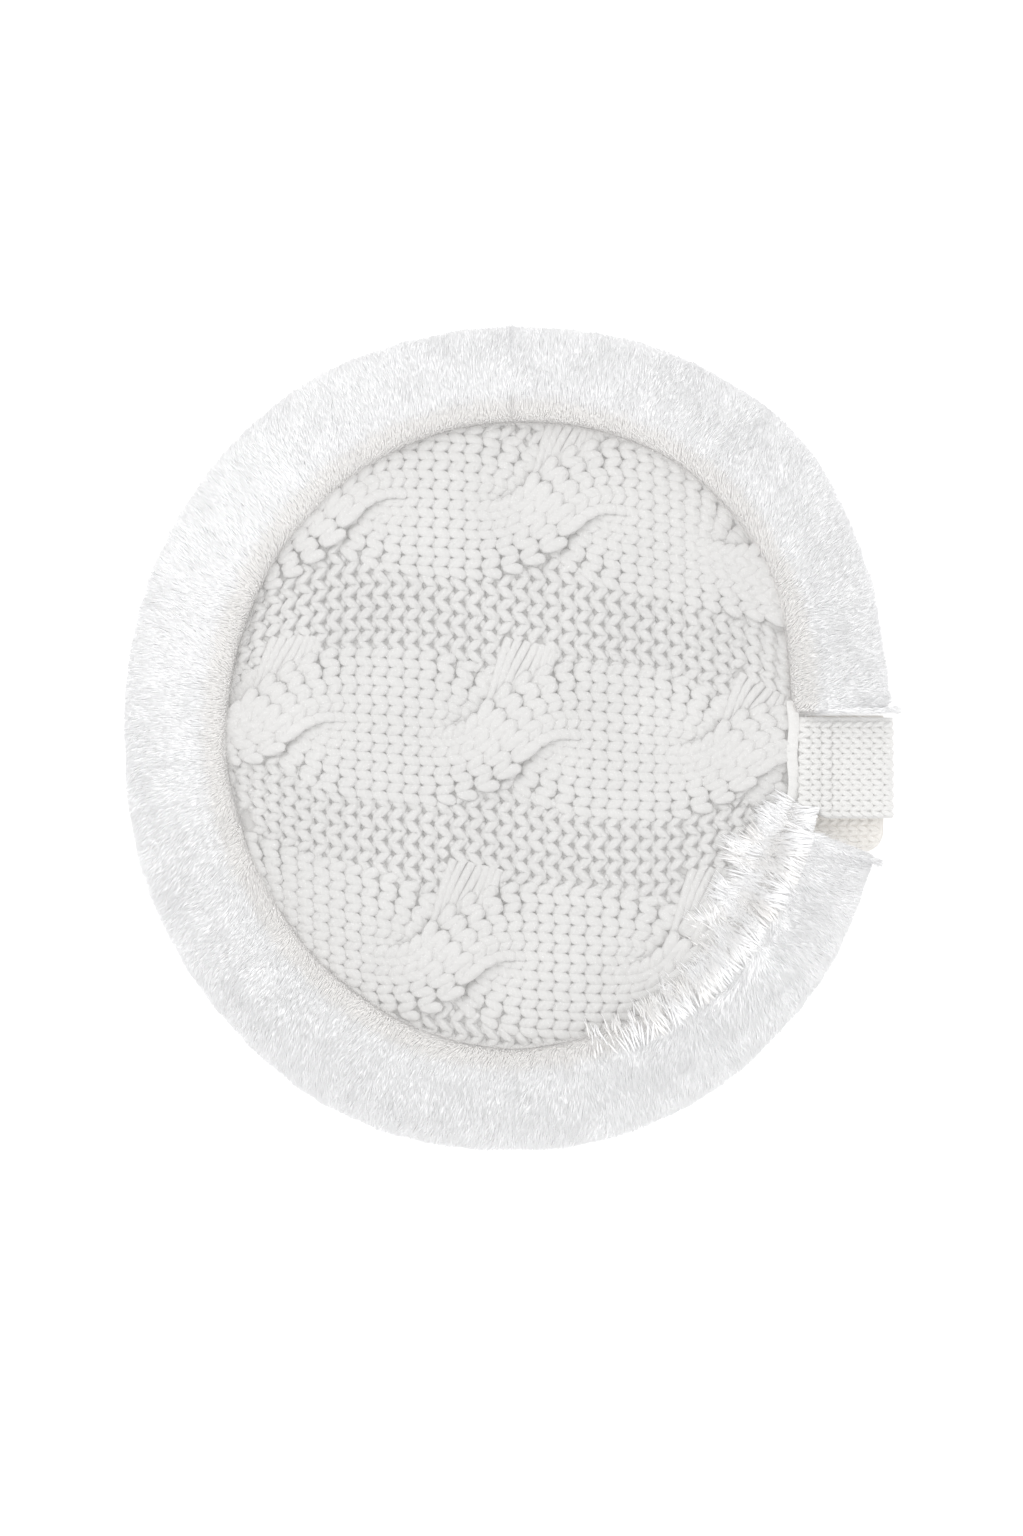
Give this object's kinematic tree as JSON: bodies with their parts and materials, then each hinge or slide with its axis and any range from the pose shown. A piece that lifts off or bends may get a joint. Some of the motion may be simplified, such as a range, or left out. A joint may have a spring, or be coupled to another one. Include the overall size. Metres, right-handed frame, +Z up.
{
  "type": "tree skirt",
  "caption": "Padded round tree skirt of cable knit with a stuffed faux-fur rim, a hidden slit whose flap folds up, and a snap tab that closes it.",
  "frame": {"origin": "middle of the outline's bounding box, on the floor that the skirt lies on", "axes": "+Z up; the slit leaves towards +X, a little towards -Y; the flap's fold line runs along +Y"},
  "size_m": [0.3584, 0.3812, 0.0339],
  "materials": {
    "cable_knit": "matte",
    "faux_fur": "matte",
    "fibre_filling": "matte",
    "cotton_lining": "matte",
    "woven_tape": "matte",
    "plated_snap": "polished"
  },
  "bodies": {
    "skirt": {"knit_panel": "cable_knit", "wadding": "fibre_filling", "lining": "cotton_lining", "trunk_binding": "woven_tape", "fur_trim": "faux_fur", "fur_trim_filling": "fibre_filling", "fur_trim_end_cap": "faux_fur", "slit_underlap": "woven_tape", "tongue_knit": "cable_knit", "slit_stud_inner": "plated_snap", "slit_stud_outer": "plated_snap", "tab_stud": "plated_snap"},
    "slit_flap": {"flap_knit_panel": "cable_knit", "flap_wadding": "fibre_filling", "flap_lining": "cotton_lining", "flap_trunk_binding": "woven_tape", "flap_fur_trim": "faux_fur", "flap_fur_trim_filling": "fibre_filling", "flap_fur_trim_end_cap": "faux_fur", "flap_slit_facing": "woven_tape", "slit_socket_inner": "plated_snap", "slit_socket_outer": "plated_snap", "tab_gather_band": "woven_tape"},
    "closure_tab": {"tab_knit": "cable_knit", "tab_lining": "woven_tape", "tab_socket": "plated_snap"}
  },
  "joints": [
    {"name": "flap_fold", "type": "hinge", "parent": "skirt", "child": "slit_flap", "pos_m": [0.002, 0, 0.0245], "axis": [0, -1, 0], "range_deg": [0, 90]},
    {"name": "tab_lift", "type": "hinge", "parent": "slit_flap", "child": "closure_tab", "pos_m": [0.1343, -0.009, 0.0212], "axis": [0, -1, 0], "range_deg": [0, 150]}
  ]
}
